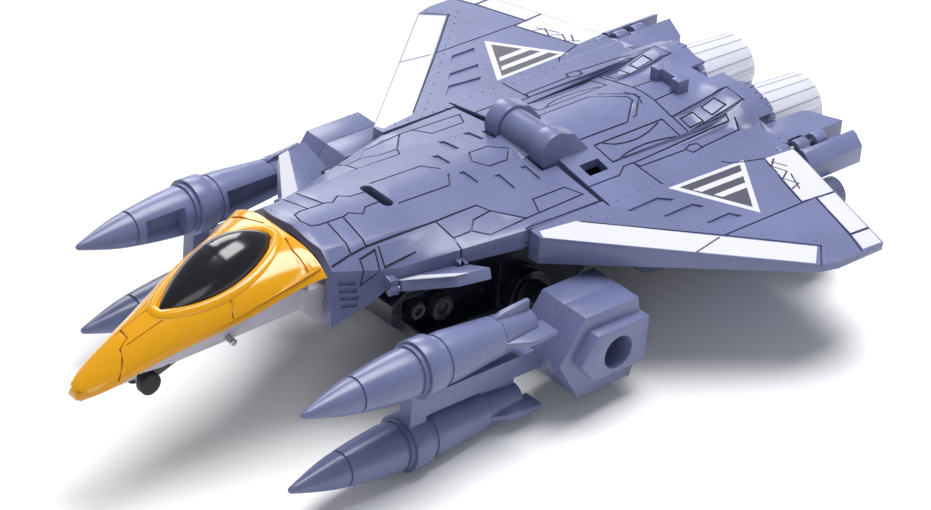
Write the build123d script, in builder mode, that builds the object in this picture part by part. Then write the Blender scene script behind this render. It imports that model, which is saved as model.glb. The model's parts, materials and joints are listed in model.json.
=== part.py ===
"""Folding toy jet: a hand-sized aircraft model that opens out on hinges, in millimetres.

The aircraft is drawn level, nose towards -Y, left wing towards +X, with z = 0 on the
flat deck at the wing root and y = 0 on the front of the wing's white edge at the root.
Each finished piece is then stood at the attitude in which the toy rests on a table.
"""
from build123d import *
from math import cos, radians, sin
import os

os.makedirs("parts", exist_ok=True)

# ---- overall sizes ----
nose_reach = 71.2
tail_reach = 53.9
wing_span = 85.6
nose_up = 5.6

# ---- fits and walls ----
gap = 0.3
running = 0.05
wall = 1.2
screw_r = 0.9
screw_head_r = 1.5
screw_head_t = 0.7

# ---- rear deck and its crest ----
root_x = 16.75
deck_front = 6.3
deck_rear = 39.0
skirt_z = -3.9
crest_z = 2.7
crest_half = 5.0
crest_side_z = 2.0
slope_half = 9.3
slope_z = 0.7

# ---- main fold hinge ----
fold_y = 6.0
fold_z = 3.3
cap_r = 3.0
cap_in = 3.3
cap_t = 2.6
barrel_r = 2.6
fold_pin_r = 0.75

# ---- engines ----
engine_x = 7.0
engine_z = -3.2
hump_r = 6.2
hump_front = 31.0
hump_rear = 42.0
nozzle_r = 5.0
nozzle_end_r = 4.3
nozzle_wall = 0.9

# ---- wings ----
wing_root_front = -7.2
wing_arm_in = 15.5
wing_tip_front = 22.0
wing_tip_rear = 33.4
wing_rear = 38.6
wing_droop = 0.0752
wing_root_t = 3.9
wing_tip_t = 0.9
peg_y = (12.0, 30.0)
peg_r = 1.0

# ---- tail booms and fins ----
boom_in = 11.0
boom_out = 18.0
boom_len = 11.6
boom_h = 5.0
fin_in = 20.3
fin_out = 22.5
fin_front = 39.9
fin_rear = 50.4
fin_h = 4.3
fin_axis_x = 18.75
fin_axis_z = -0.9
knuckle_r = 1.2
knuckle_y = (37.5, 41.1)
knuckle_len = 2.2
fin_pin_r = 0.5

# ---- front fuselage ----
front_y = -36.0
front_rear_y = 5.8
front_half = 8.4
shoulder_y = -6.0
edge_z = -2.6
cheek_z = -8.2
slot_y = -21.4
slot_w = 1.7
slot_len = 5.8
front_rear_half = 15.2
frame_half = 6.8
frame_screw_y = (-26.0, -9.0)

# ---- canards ----
canard_root = (11.95, -28.8)
canard_root_rear = (14.3, -17.2)
canard_span = 5.4
canard_z = -3.3
canard_t = 1.0
canard_rise = 25.0
bead_r = 0.8
lug_t = 1.2
lug_h = 1.6
canard_pin_r = 0.4

# ---- nose ----
nose_back = 37.8
nose_half = 9.9
nose_tip_z = -10.6
nose_tip_half = 1.6
nose_tip_t = 1.3
nose_side_z = 0.9
nose_crest_z = 3.3
nose_hinge_y = -35.0
nose_hinge_z = -5.5
knuckle_half = 6.9
nose_pin_r = 0.7
knuckle_big_r = 2.9
keel_half = 6.9
keel_back_z = -6.2
nose_bulge = 2.2
canopy_front = 57.5
canopy_rear = 40.0
canopy_half = 4.1
canopy_height = 4.0
canopy_sink = 1.0

# ---- nose gear ----
gear_pivot = (-49.2, -7.5)
gear_wheel = (-60.2, -11.6)
gear_half = 0.9
wheel_r = 1.6
gear_pin_r = 0.5
wheel_pin_r = 0.45
bay_half = 2.6
gear_pin_half = 5.4

# ---- belly and shoulders ----
belly_half = 11.5
belly_front = -27.5
belly_rear = 8.0
belly_top = -4.6
belly_bottom = -14.8
shoulder_y0 = -4.0
shoulder_z = -11.9
axle_r = 2.2
axle_depth = 3.5
bolt_places = ((-16.8, -11.6, 1.9), (-21.3, -10.4, 1.3))

# ---- pods ----
pod_in = 20.7
pod_seam = 25.3
pod_out = 29.5
pad_t = 1.7
pod_top = -5.5
pod_bottom = -18.2
pod_flat_front = -9.1
pod_flat_rear = 0.4
pod_nose = -13.1
pod_tail = 2.0
port_r = 2.5
port_len = 3.5

# ---- missiles and rack ----
upper_x = 24.2
upper_z = -6.9
lower_x = 22.6
lower_z = -19.5
missile_tip = -53.2
missile_tail = -14.5
missile_r = 3.55
ring_r = missile_r + 0.5
ring_front = -34.6
ring_len = 2.8
rack_t = 2.2
rack_x = 23.4
bar_top = -11.8
bar_bottom = -15.0
fin_reach = 4.4

# ---- legs ----
leg_in = 8.5
leg_out = 18.2
hip_y = 15.0
hip_z = -8.6
hip_r = 4.2
leg_rear = 44.0
heel_z = -15.9
leg_low_z = -9.9
hip_pin_r = 1.0
jet_x = 23.0
jet_z = -7.6
jet_r = 2.4

# ---- resting attitude: nose up, lowest point on z = 0, middle of the length on y = 0 ----
tilt = radians(nose_up)
floor_drop = (lower_z - ring_r) * cos(tilt) - (ring_front + ring_len) * sin(tilt)
tip_y = -nose_reach * cos(tilt) + nose_tip_z * sin(tilt)
tail_y = tail_reach * cos(tilt) + (engine_z + nozzle_end_r) * sin(tilt)
stance = Location((0, -(tip_y + tail_y) / 2, -floor_drop), (-nose_up, 0, 0))

SIDES = (("left", 1), ("right", -1))


def write(piece, label):
    """Label a finished piece, stand it at the resting attitude and write it."""
    standing = piece.part.moved(stance)
    standing.label = label
    export_step(standing, f"parts/{label}.step")


def rod(y, z, x0, x1, radius, mode=Mode.ADD):
    """A round bar or bore that lies across the aircraft, from x0 to x1."""
    with BuildSketch(Plane.YZ.offset(x0)) as end:
        with Locations((y, z)):
            Circle(radius)
    extrude(end.sketch, amount=x1 - x0, mode=mode)


def side_slab(points, x0, x1, mode=Mode.ADD):
    """A slab with a (y, z) side outline, from x0 to x1."""
    with BuildSketch(Plane.YZ.offset(x0)) as side_view:
        with BuildLine():
            Polyline(*points, close=True)
        make_face()
    extrude(side_view.sketch, amount=x1 - x0, mode=mode)


def hinge_rod(side, y, length, radius, mode=Mode.ADD):
    """A round bar or bore on one tail fin's hinge line, centred on y."""
    with BuildSketch(Plane.XZ.offset(-y + length / 2)) as end:
        with Locations((side * fin_axis_x, fin_axis_z)):
            Circle(radius)
    extrude(end.sketch, amount=-length, mode=mode)


def deck_face(y, drop, inset, floor):
    """Cross-section of the crested rear deck at y, lowered by drop and narrowed by inset."""
    half = root_x - inset
    with BuildSketch(Plane.XZ.offset(-y)) as section:
        with BuildLine():
            ThreePointArc((-crest_half, crest_side_z - drop), (0, crest_z - drop), (crest_half, crest_side_z - drop))
            Polyline(
                (crest_half, crest_side_z - drop),
                (slope_half, slope_z - drop),
                (half, -drop),
                (half, floor),
                (-half, floor),
                (-half, -drop),
                (-slope_half, slope_z - drop),
                (-crest_half, crest_side_z - drop),
            )
        make_face()
    return section.sketch


# ======== rear fuselage ========
with BuildPart() as rear_shell:
    extrude(deck_face(deck_front, 0, 0, skirt_z), amount=-(deck_rear - deck_front))
    for side in (1, -1):
        with BuildSketch(Plane.XZ.offset(-hump_front)):
            with Locations((side * engine_x, engine_z)):
                Circle(-engine_z)
        with BuildSketch(Plane.XZ.offset(-(hump_rear - 4 * wall))):
            with Locations((side * engine_x, engine_z)):
                Circle(hump_r)
        loft()
        with BuildSketch(Plane.XZ.offset(-(hump_rear - 4 * wall))):
            with Locations((side * engine_x, engine_z)):
                Circle(hump_r)
        extrude(amount=-4 * wall)
    hollow = deck_face(deck_front + wall, wall, wall, skirt_z - hump_r)
    extrude(hollow, amount=-(deck_rear - deck_front - 2 * wall), mode=Mode.SUBTRACT)
    with BuildSketch(Plane.XZ.offset(-(hump_front + 4 * wall))):
        with Locations(*[(side * engine_x, engine_z) for side in (1, -1)]):
            Circle(nozzle_r + gap / 3)
    extrude(amount=-(hump_rear - hump_front), mode=Mode.SUBTRACT)
    for side in (1, -1):
        rod(fold_y, fold_z, side * cap_in, side * (cap_in + cap_t), cap_r)
        fairing = (
            (fold_y, fold_z + cap_r),
            (fold_y + cap_r, fold_z + 0.7 * cap_r),
            (deck_front + 2.3 * cap_r, slope_z),
            (deck_front + 2.3 * cap_r, -wall),
            (deck_front, -wall),
            (deck_front, fold_z),
        )
        side_slab(fairing, side * cap_in, side * (cap_in + cap_t))
    rod(fold_y, fold_z, -cap_in - cap_t + wall, cap_in + cap_t - wall, fold_pin_r, Mode.SUBTRACT)
    # room for the front fuselage's barrel between the two caps
    rod(fold_y, fold_z, -cap_in, cap_in, barrel_r + gap, Mode.SUBTRACT)
    for y in peg_y:
        rod(y, -wing_root_t / 2, -root_x, root_x, peg_r, Mode.SUBTRACT)
    # square locating sockets beside the hinge
    with BuildSketch(Plane.XY.offset(skirt_z)):
        with Locations((slope_half - gap, deck_front + 4.0), (-slope_half + gap, deck_front + 4.0)):
            Rectangle(2.6, 3.8)
    extrude(amount=6 * wall, mode=Mode.SUBTRACT)

with BuildPart() as fold_pin:
    rod(fold_y, fold_z, -cap_in - cap_t + wall, cap_in + cap_t - wall, fold_pin_r)

cover_screw_y = (hip_y + 5.5, hump_front - 4.0)
with BuildPart() as rear_cover:
    with BuildSketch(Plane.XY.offset(skirt_z)):
        with BuildLine():
            Polyline(
                (-leg_in + gap, deck_front + 2 * wall),
                (leg_in - gap, deck_front + 2 * wall),
                (leg_in - gap, hump_front),
                (-leg_in + gap, hump_front),
                close=True,
            )
        make_face()
    extrude(amount=-wall)
    for y in cover_screw_y:
        with BuildSketch(Plane.XY.offset(skirt_z)):
            with Locations((0, y)):
                Circle(screw_r + wall)
        extrude(amount=-skirt_z + crest_side_z - wall - gap)
        with BuildSketch(Plane.XY.offset(skirt_z - wall)):
            with Locations((0, y)):
                Circle(screw_r)
        extrude(amount=3 * wall, mode=Mode.SUBTRACT)

with BuildPart() as cover_screws:
    for y in cover_screw_y:
        with BuildSketch(Plane.XY.offset(skirt_z - wall)):
            with Locations((0, y)):
                Circle(screw_head_r)
        extrude(amount=-screw_head_t)
        with BuildSketch(Plane.XY.offset(skirt_z - wall)):
            with Locations((0, y)):
                Circle(screw_r)
        extrude(amount=3 * wall)

clip_y = hump_front + 0.8
with BuildPart() as top_clip:
    with BuildSketch(Plane.XY.offset(crest_side_z + 0.1)):
        with Locations((0, clip_y + 1.1)):
            Rectangle(5.8, 2.2)
    extrude(amount=2.8)
    with BuildSketch(Plane.XY.offset(crest_side_z + 0.1)):
        with Locations((0, clip_y + 0.35)):
            Rectangle(2.8, 0.9)
    extrude(amount=2.8, mode=Mode.SUBTRACT)
    add(rear_shell.part, mode=Mode.SUBTRACT)

for name, piece in (
    ("rear_cover", rear_cover),
    ("fold_pin", fold_pin),
    ("cover_screws", cover_screws),
):
    write(piece, name)

# ======== wings ========
def wing_plan(side):
    """Outline of one wing in plan, from the arm beside the front fuselage to the tip."""
    half = wing_span / 2
    points = (
        (wing_arm_in, wing_root_front),
        (root_x + 0.8, wing_root_front),
        (half - 0.8, wing_tip_front),
        (half, wing_tip_front + 3.0),
        (half, wing_tip_rear),
        (fin_in + 0.6, wing_rear),
        (root_x, wing_rear),
        (root_x, deck_front - gap),
        (wing_arm_in, deck_front - gap),
    )
    return [(side * x, y) for x, y in points]


def droop_plane(side, height, slope):
    """A plane through the wing root at this height that falls outwards by slope."""
    return Plane(origin=(side * root_x, 0, height), x_dir=(0, 1, 0), z_dir=(side * slope, 0, 1))


for name, side in SIDES:
    with BuildPart() as wing:
        with BuildSketch(Plane.XY.offset(-2 * wing_root_t)):
            with BuildLine():
                Polyline(*wing_plan(side), close=True)
            make_face()
        extrude(amount=4 * wing_root_t)
        split(bisect_by=droop_plane(side, 0, wing_droop), keep=Keep.BOTTOM)
        rise = (wing_root_t - wing_tip_t) / (wing_span / 2 - root_x) - wing_droop
        split(bisect_by=droop_plane(side, -wing_root_t, -rise), keep=Keep.TOP)
        hinge_rod(side, knuckle_y[0], knuckle_len, knuckle_r)
        hinge_rod(side, knuckle_y[0], 2 * knuckle_len, fin_pin_r, Mode.SUBTRACT)
        for y in peg_y:
            rod(y, -wing_root_t / 2, side * (root_x - 2 * wall), side * (root_x + wall), peg_r)
    write(wing, f"wing_{name}")

# ======== tail booms, fins and engine nozzles ========
for name, side in SIDES:
    with BuildPart() as boom:
        with BuildSketch(Plane.XY):
            with BuildLine():
                Polyline(
                    (side * boom_in, deck_rear),
                    (side * boom_in, deck_rear + boom_len - 7.4),
                    (side * (boom_in + 2.1), deck_rear + boom_len - 2.4),
                    (side * boom_out, deck_rear + boom_len),
                    (side * boom_out, deck_rear),
                    close=True,
                )
            make_face()
        extrude(amount=-boom_h)
        # the engine nozzle passes the boom's inner side
        with BuildSketch(Plane.XZ.offset(-deck_rear)):
            with Locations((side * engine_x, engine_z)):
                Circle(hump_r + gap)
        extrude(amount=-boom_len, mode=Mode.SUBTRACT)
        # hinge lug behind the fin's knuckle, and room for the knuckle itself
        hinge_rod(side, knuckle_y[1], knuckle_len + 2 * gap, knuckle_r + gap, Mode.SUBTRACT)
        hinge_rod(side, 2 * knuckle_y[1] - knuckle_y[0], knuckle_len, knuckle_r)
        hinge_rod(side, knuckle_y[1], 6 * knuckle_len, fin_pin_r, Mode.SUBTRACT)
    write(boom, f"tail_boom_{name}")

    with BuildPart() as fin:
        with BuildSketch(Plane.XZ.offset(-fin_front)):
            with BuildLine():
                Polyline(
                    (side * fin_in, -0.3),
                    (side * (fin_out - 1.4), -0.6),
                    (side * fin_out, -2.0),
                    (side * fin_out, fin_axis_z - fin_h + 0.5),
                    (side * fin_in, fin_axis_z - fin_h + 0.5),
                    close=True,
                )
            make_face()
        extrude(amount=-(fin_rear - fin_front))
        # the fin's own knuckle and its short arm
        hinge_rod(side, knuckle_y[1], knuckle_len, knuckle_r)
        with BuildSketch(Plane.XZ.offset(-knuckle_y[1] + knuckle_len / 2)):
            with Locations((side * (fin_axis_x + fin_in) / 2, fin_axis_z - 0.3)):
                Rectangle(fin_in - fin_axis_x + 0.4, 1.4)
        extrude(amount=-knuckle_len)
        hinge_rod(side, knuckle_y[1], knuckle_len, fin_pin_r + running, Mode.SUBTRACT)
    write(fin, f"tail_fin_{name}")

    with BuildPart() as fin_pin:
        hinge_rod(side, knuckle_y[1], 2 * (knuckle_y[1] - knuckle_y[0]) + knuckle_len, fin_pin_r)
    write(fin_pin, f"fin_pin_{name}")

    with BuildPart() as nozzle:
        with BuildSketch(Plane.XZ.offset(-(hump_front + 5 * wall))):
            with Locations((side * engine_x, engine_z)):
                Circle(nozzle_r)
        extrude(amount=-(hump_rear - hump_front - 5 * wall))
        with BuildSketch(Plane.XZ.offset(-hump_rear)):
            with Locations((side * engine_x, engine_z)):
                Circle(nozzle_r)
        with BuildSketch(Plane.XZ.offset(-tail_reach)):
            with Locations((side * engine_x, engine_z)):
                Circle(nozzle_end_r)
        loft()
        with BuildSketch(Plane.XZ.offset(-tail_reach)):
            with Locations((side * engine_x, engine_z)):
                Circle(nozzle_end_r - nozzle_wall)
        extrude(amount=tail_reach - hump_rear, mode=Mode.SUBTRACT)
    write(nozzle, f"nozzle_{name}")
write(rear_shell, "rear_shell")
write(top_clip, "top_clip")

# ======== legs, folded flat under the rear deck ========
for name, side in SIDES:
    with BuildPart() as leg:
        leg_side = (
            (hip_y, hip_z + hip_r),
            (hump_front - 3 * gap, hip_z + hip_r),
            (hump_front + 2.0, leg_low_z),
            (leg_rear, leg_low_z),
            (leg_rear, heel_z),
            (hip_y, hip_z - hip_r),
        )
        side_slab(leg_side, side * leg_in, side * leg_out)
        rod(hip_y, hip_z, side * leg_in, side * leg_out, hip_r)
        rod(hip_y, hip_z, side * leg_in, side * leg_out, hip_pin_r + running, Mode.SUBTRACT)
        # the inner side is open behind its cover
        pocket = (
            (hip_y + hip_r + wall, hip_z + hip_r - wall),
            (hump_front - wall, hip_z + hip_r - wall),
            (hump_front + 1.0, leg_low_z - wall),
            (leg_rear - wall, leg_low_z - wall),
            (leg_rear - wall, heel_z + wall + 0.5),
            (hip_y + hip_r + wall, hip_z - hip_r + 0.5),
        )
        side_slab(pocket, side * leg_in, side * (leg_out - wall), Mode.SUBTRACT)
    write(leg, f"leg_{name}")

    with BuildPart() as leg_cover:
        lid = (
            (hip_y + hip_r + wall + 0.1, hip_z + hip_r - wall - 0.1),
            (hump_front - wall - 0.1, hip_z + hip_r - wall - 0.1),
            (hump_front + 0.9, leg_low_z - wall - 0.1),
            (leg_rear - wall - 0.1, leg_low_z - wall - 0.1),
            (leg_rear - wall - 0.1, heel_z + wall + 0.6),
            (hip_y + hip_r + wall + 0.1, hip_z - hip_r + 0.6),
        )
        side_slab(lid, side * leg_in, side * (leg_in + wall))
    write(leg_cover, f"leg_cover_{name}")

    with BuildPart() as jet:
        with BuildSketch(Plane.XZ.offset(-(leg_rear - 8.0))):
            with Locations((side * jet_x, jet_z)):
                Circle(jet_r)
        extrude(amount=-9.0)
        with BuildSketch(Plane.XZ.offset(-(leg_rear + 1.0))):
            with Locations((side * jet_x, jet_z)):
                Circle(jet_r - 0.7)
        extrude(amount=3.0, mode=Mode.SUBTRACT)
        arm = (
            (leg_rear - 7.0, jet_z - 1.0),
            (leg_rear - 2.5, jet_z - 1.0),
            (leg_rear - 2.5, jet_z - 4.4),
            (leg_rear - 7.0, jet_z - 4.4),
        )
        side_slab(arm, side * leg_out, side * (jet_x - 1.0))
        clip_arm = [(y - 0.5, z + 1.6) for y, z in arm]
        side_slab(clip_arm, side * (jet_x + 1.5), side * (jet_x + 6.0))
    write(jet, f"leg_jet_{name}")

    with BuildPart() as hip_pin:
        rod(hip_y, hip_z, side * (leg_in - 3.0), side * (leg_out - 1.0), hip_pin_r)
    write(hip_pin, f"hip_pin_{name}")

# ======== belly frame and shoulder axles ========
with BuildPart() as belly_frame:
    belly_side = (
        (belly_front, belly_top - 2.0),
        (belly_front + 3.0, belly_top),
        (belly_rear, belly_top),
        (belly_rear, belly_bottom + 1.5),
        (belly_rear - 3.0, belly_bottom),
        (belly_front + 6.0, belly_bottom),
        (belly_front, belly_top - 5.0),
    )
    side_slab(belly_side, -belly_half, belly_half)
    # side recesses leave a web on the middle plane
    window = (
        (belly_front + 1.8, belly_top - 1.8),
        (shoulder_y0 - axle_r - 2.0, belly_top - 1.8),
        (shoulder_y0 - axle_r - 2.0, belly_bottom + 1.0),
        (belly_front + 6.6, belly_bottom + 1.0),
        (belly_front + 1.8, belly_top - 4.6),
    )
    for side in (1, -1):
        side_slab(window, side * (belly_half - 3.0), side * belly_half, Mode.SUBTRACT)
        rod(shoulder_y0, shoulder_z, side * (belly_half - 4.0), side * belly_half, axle_r, Mode.SUBTRACT)
    # neck under the rear deck, back to the hips
    neck = (
        (belly_rear - 1.0, skirt_z - wall),
        (hip_y + 2.5, skirt_z - wall),
        (hip_y + 2.5, hip_z - 2.5),
        (belly_rear - 1.0, belly_bottom + 3.0),
    )
    side_slab(neck, -(leg_in - gap), leg_in - gap)
    rod(hip_y, hip_z, -leg_in, leg_in, hip_pin_r, Mode.SUBTRACT)
write(belly_frame, "belly_frame")

with BuildPart() as belly_bolts:
    for side in (1, -1):
        face_x = side * (belly_half - 3.0)
        for y, z, radius in bolt_places:
            rod(y, z, face_x, face_x + side * 1.6, radius)
            rod(y, z, face_x + side * 1.0, face_x + side * 1.6, 0.45 * radius, Mode.SUBTRACT)
write(belly_bolts, "belly_bolts")

for name, side in SIDES:
    with BuildPart() as axle:
        rod(shoulder_y0, shoulder_z, side * (belly_half - 4.0), side * (pod_in + axle_depth), axle_r)
        rod(shoulder_y0, shoulder_z, side * belly_half, side * (belly_half + 2.0), axle_r + 1.2)
    write(axle, f"shoulder_axle_{name}")


# ======== front fuselage ========
def front_section(y, crest, shoulder_x, shoulder, edge_x, edge, bottom_x, bottom, skin):
    """Cross-section of the front fuselage at y, drawn one skin thickness inside its outline."""
    with BuildSketch(Plane.XZ.offset(-y)) as section:
        with BuildLine():
            right = [
                (shoulder_x - 0.7 * skin, shoulder - skin),
                (edge_x - skin, edge - 0.6 * skin),
                (bottom_x - skin, bottom),
            ]
            left = [(-x, z) for x, z in reversed(right)]
            Polyline((0, crest - skin), *right, *left, close=True)
        make_face()
    return section.sketch


front_stations = (
    (front_y, 3.2, 6.0, 2.4, front_half, 0.3, front_half + 0.5, cheek_z),
    (front_y + 6.0, 3.0, 6.8, 2.1, front_half + 1.6, -0.7, front_half + 1.9, 0.65 * cheek_z),
    (front_y + 9.5, 2.8, 7.2, 2.0, front_half + 2.5, -1.1, front_half + 2.7, edge_z),
    (shoulder_y, 2.2, 8.5, 1.1, front_rear_half, 0.2, front_rear_half, edge_z),
    (front_rear_y, 2.0, 8.0, 1.0, front_rear_half, 0.1, front_rear_half, edge_z),
)
with BuildPart() as front_shell:
    loft(sections=[front_section(*station, 0) for station in front_stations], ruled=True)
    inner = [list(station) for station in front_stations]
    inner[0][0] -= 1.0
    inner[-1][0] -= wall
    for station in inner:
        station[-1] -= 2.0
    loft(sections=[front_section(*station, wall) for station in inner], ruled=True, mode=Mode.SUBTRACT)
    rod(fold_y, fold_z, -cap_in + gap / 2, cap_in - gap / 2, barrel_r)
    with BuildSketch(Plane.YZ.offset(-cap_in + gap / 2)):
        with BuildLine():
            Polyline(
                (fold_y - 4.0, fold_z - barrel_r + 0.1),
                (fold_y, fold_z - barrel_r + 0.1),
                (fold_y, fold_z + 0.6),
                (fold_y - 4.0, fold_z - wall),
                close=True,
            )
        make_face()
    extrude(amount=2 * cap_in - gap)
    for side in (1, -1):
        rod(fold_y, fold_z, side * (cap_in - gap / 2), side * (cap_in + cap_t + gap), cap_r + gap, Mode.SUBTRACT)
    rod(fold_y, fold_z, -cap_in, cap_in, fold_pin_r + running, Mode.SUBTRACT)
    # cross slot in the spine
    with BuildSketch(Plane.XY):
        with Locations((0, slot_y)):
            SlotOverall(slot_len, slot_w)
    extrude(amount=2 * crest_z, mode=Mode.SUBTRACT)
    rod(nose_hinge_y, nose_hinge_z, -front_half - 1, front_half + 1, nose_pin_r, Mode.SUBTRACT)

with BuildPart() as front_frame:
    frame_side = (
        (front_y + 6.0, -1.0),
        (fold_y - 4.5, -1.0),
        (fold_y - 4.5, belly_top + 2 * gap),
        (front_y + 6.0, belly_top + 2 * gap),
    )
    side_slab(frame_side, -frame_half, frame_half)
    add(front_shell.part, mode=Mode.SUBTRACT)
    for y in frame_screw_y:
        with BuildSketch(Plane.XY.offset(belly_top + 2 * gap)):
            with Locations((0, y)):
                Circle(screw_r)
        extrude(amount=2.5, mode=Mode.SUBTRACT)
        with BuildSketch(Plane.XY.offset(belly_top + 2 * gap)):
            with Locations((0, y)):
                Circle(screw_head_r)
        extrude(amount=screw_head_t, mode=Mode.SUBTRACT)
with BuildPart() as frame_screws:
    for y in frame_screw_y:
        with BuildSketch(Plane.XY.offset(belly_top + 2 * gap)):
            with Locations((0, y)):
                Circle(screw_head_r)
        extrude(amount=screw_head_t)
        with BuildSketch(Plane.XY.offset(belly_top + 2 * gap)):
            with Locations((0, y)):
                Circle(screw_r)
        extrude(amount=2.5)
write(front_frame, "front_frame")
write(frame_screws, "frame_screws")

with BuildPart() as nose_hinge_pin:
    rod(nose_hinge_y, nose_hinge_z, -front_half - 0.2, front_half + 0.2, nose_pin_r)
write(nose_hinge_pin, "nose_hinge_pin")

# ======== canards ========
root_run = Vector(canard_root_rear[0] - canard_root[0], canard_root_rear[1] - canard_root[1], 0)
chord = root_run.length


def canard_plane(side, along=0.0):
    """The tilted plane of one canard: x runs back along its root, y runs out to the tip."""
    back = Vector(side * root_run.X, root_run.Y, 0).normalized()
    out = Vector(side * root_run.Y, -root_run.X, 0).normalized()
    rise = radians(canard_rise)
    up_and_out = out * cos(rise) + Vector(0, 0, 1) * sin(rise)
    start = Vector(side * canard_root[0], canard_root[1], canard_z) + back * along
    return Plane(origin=start, x_dir=back, z_dir=back.cross(up_and_out))


def root_plane(side, along):
    """A plane across one canard's root line, at this distance from its front end."""
    flat = canard_plane(side, along)
    return Plane(origin=flat.origin, x_dir=(0, 0, 1), z_dir=flat.x_dir)


for name, side in SIDES:
    with BuildPart() as canard:
        with BuildSketch(canard_plane(side)):
            with BuildLine():
                reach = canard_span / cos(radians(canard_rise))
                Polyline((0, 0), (0.62 * chord, reach), (chord, reach), (chord, 0), close=True)
            make_face()
        extrude(amount=canard_t / 2, both=True)
        with BuildSketch(root_plane(side, lug_t + gap)):
            Circle(bead_r)
        extrude(amount=chord - 2 * lug_t - 2 * gap)
        for along in (0, chord):
            with BuildSketch(root_plane(side, along)):
                Circle(bead_r + 0.3)
            extrude(amount=lug_t + gap, both=True, mode=Mode.SUBTRACT)
        with BuildSketch(root_plane(side, 0)):
            Circle(canard_pin_r + running)
        extrude(amount=chord, mode=Mode.SUBTRACT)
    write(canard, f"canard_{name}")

    with BuildPart() as canard_pin:
        with BuildSketch(root_plane(side, 0)):
            Circle(canard_pin_r)
        extrude(amount=chord)
    write(canard_pin, f"canard_pin_{name}")

# two lugs under each side of the front fuselage carry the canard pins
with BuildPart() as shell_with_lugs:
    add(front_shell.part)
    for side in (1, -1):
        for along in (0, chord - lug_t):
            with BuildSketch(root_plane(side, along)):
                Circle(bead_r)
                with Locations((lug_h / 2, -side * 0.9)):
                    Rectangle(lug_h, 1.8 + bead_r)
                Circle(canard_pin_r, mode=Mode.SUBTRACT)
            extrude(amount=lug_t)
write(shell_with_lugs, "front_shell")


# ======== nose ========
def along_nose(y, back_value, tip_value):
    """Straight-line value between the nose's back end and its tip."""
    share = (-y - nose_back) / (nose_reach - nose_back)
    return back_value + share * (tip_value - back_value)


def top_section(y, skin):
    """Arched section of the nose's top shell at y, one skin thickness inside its outline."""
    side_z = along_nose(y, nose_side_z, nose_tip_z)
    blunt = min(0.55 + 0.45 * (nose_reach + y) / nose_tip_half, 1)
    half = max(blunt * along_nose(y, nose_half, nose_tip_half) - skin, 0.3)
    crest = max(along_nose(y, nose_crest_z, nose_tip_z + nose_tip_t) + nose_hump(y) - skin, side_z + 0.3)
    shoulder = (0.72 * half, side_z + 0.7 * (crest - side_z))
    with BuildSketch(Plane.XZ.offset(-y)) as section:
        with BuildLine():
            Spline((half, side_z), shoulder, (0, crest), (-shoulder[0], shoulder[1]), (-half, side_z))
            Line((-half, side_z), (half, side_z))
        make_face()
    return section.sketch


def nose_hump(y):
    """Extra height of the nose's back ahead of a straight taper, largest at mid length."""
    share = (-y - nose_back) / (nose_reach - nose_back)
    return 4 * nose_bulge * share * (1 - share)


nose_stations = [-nose_back - share * (nose_reach - nose_back) for share in (0, 0.25, 0.5, 0.75, 0.95, 1)]


def keel_section(y, skin):
    """Tapered section of the nose's lower half at y."""
    side_z = along_nose(y, nose_side_z, nose_tip_z)
    low_z = along_nose(y, keel_back_z, nose_tip_z - 0.7)
    top_half = along_nose(y, keel_half, 0.7) - skin
    with BuildSketch(Plane.XZ.offset(-y)) as section:
        with BuildLine():
            Polyline(
                (top_half, side_z),
                (0.8 * top_half, low_z + skin),
                (-0.8 * top_half, low_z + skin),
                (-top_half, side_z),
                close=True,
            )
        make_face()
    return section.sketch


def canopy_section(y, half, height):
    """Arched section of the canopy at y, from its sill on the nose."""
    sill = along_nose(y, nose_crest_z, nose_tip_z + nose_tip_t) + nose_hump(y) - canopy_sink
    with BuildSketch(Plane.XZ.offset(-y)) as section:
        with BuildLine():
            ThreePointArc((half, sill), (0, sill + height), (-half, sill))
            Line((-half, sill), (half, sill))
        make_face()
    return section.sketch


canopy_len = canopy_front - canopy_rear
with BuildPart() as canopy:
    loft(
        sections=[
            canopy_section(-canopy_front, 0.5, canopy_sink),
            canopy_section(-canopy_front + 0.25 * canopy_len, 0.75 * canopy_half, 0.72 * canopy_height),
            canopy_section(-canopy_front + 0.55 * canopy_len, canopy_half, canopy_height),
            canopy_section(-canopy_front + 0.8 * canopy_len, 0.8 * canopy_half, 0.75 * canopy_height),
            canopy_section(-canopy_rear, 0.5, canopy_sink),
        ]
    )
write(canopy, "canopy")

with BuildPart() as nose_top:
    loft(sections=[top_section(y, 0) for y in nose_stations])
    cavity = [-nose_back + 1.0] + nose_stations[1:4]
    loft(sections=[top_section(y, wall) for y in cavity], mode=Mode.SUBTRACT)
    add(canopy.part, mode=Mode.SUBTRACT)
write(nose_top, "nose_top")

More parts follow.
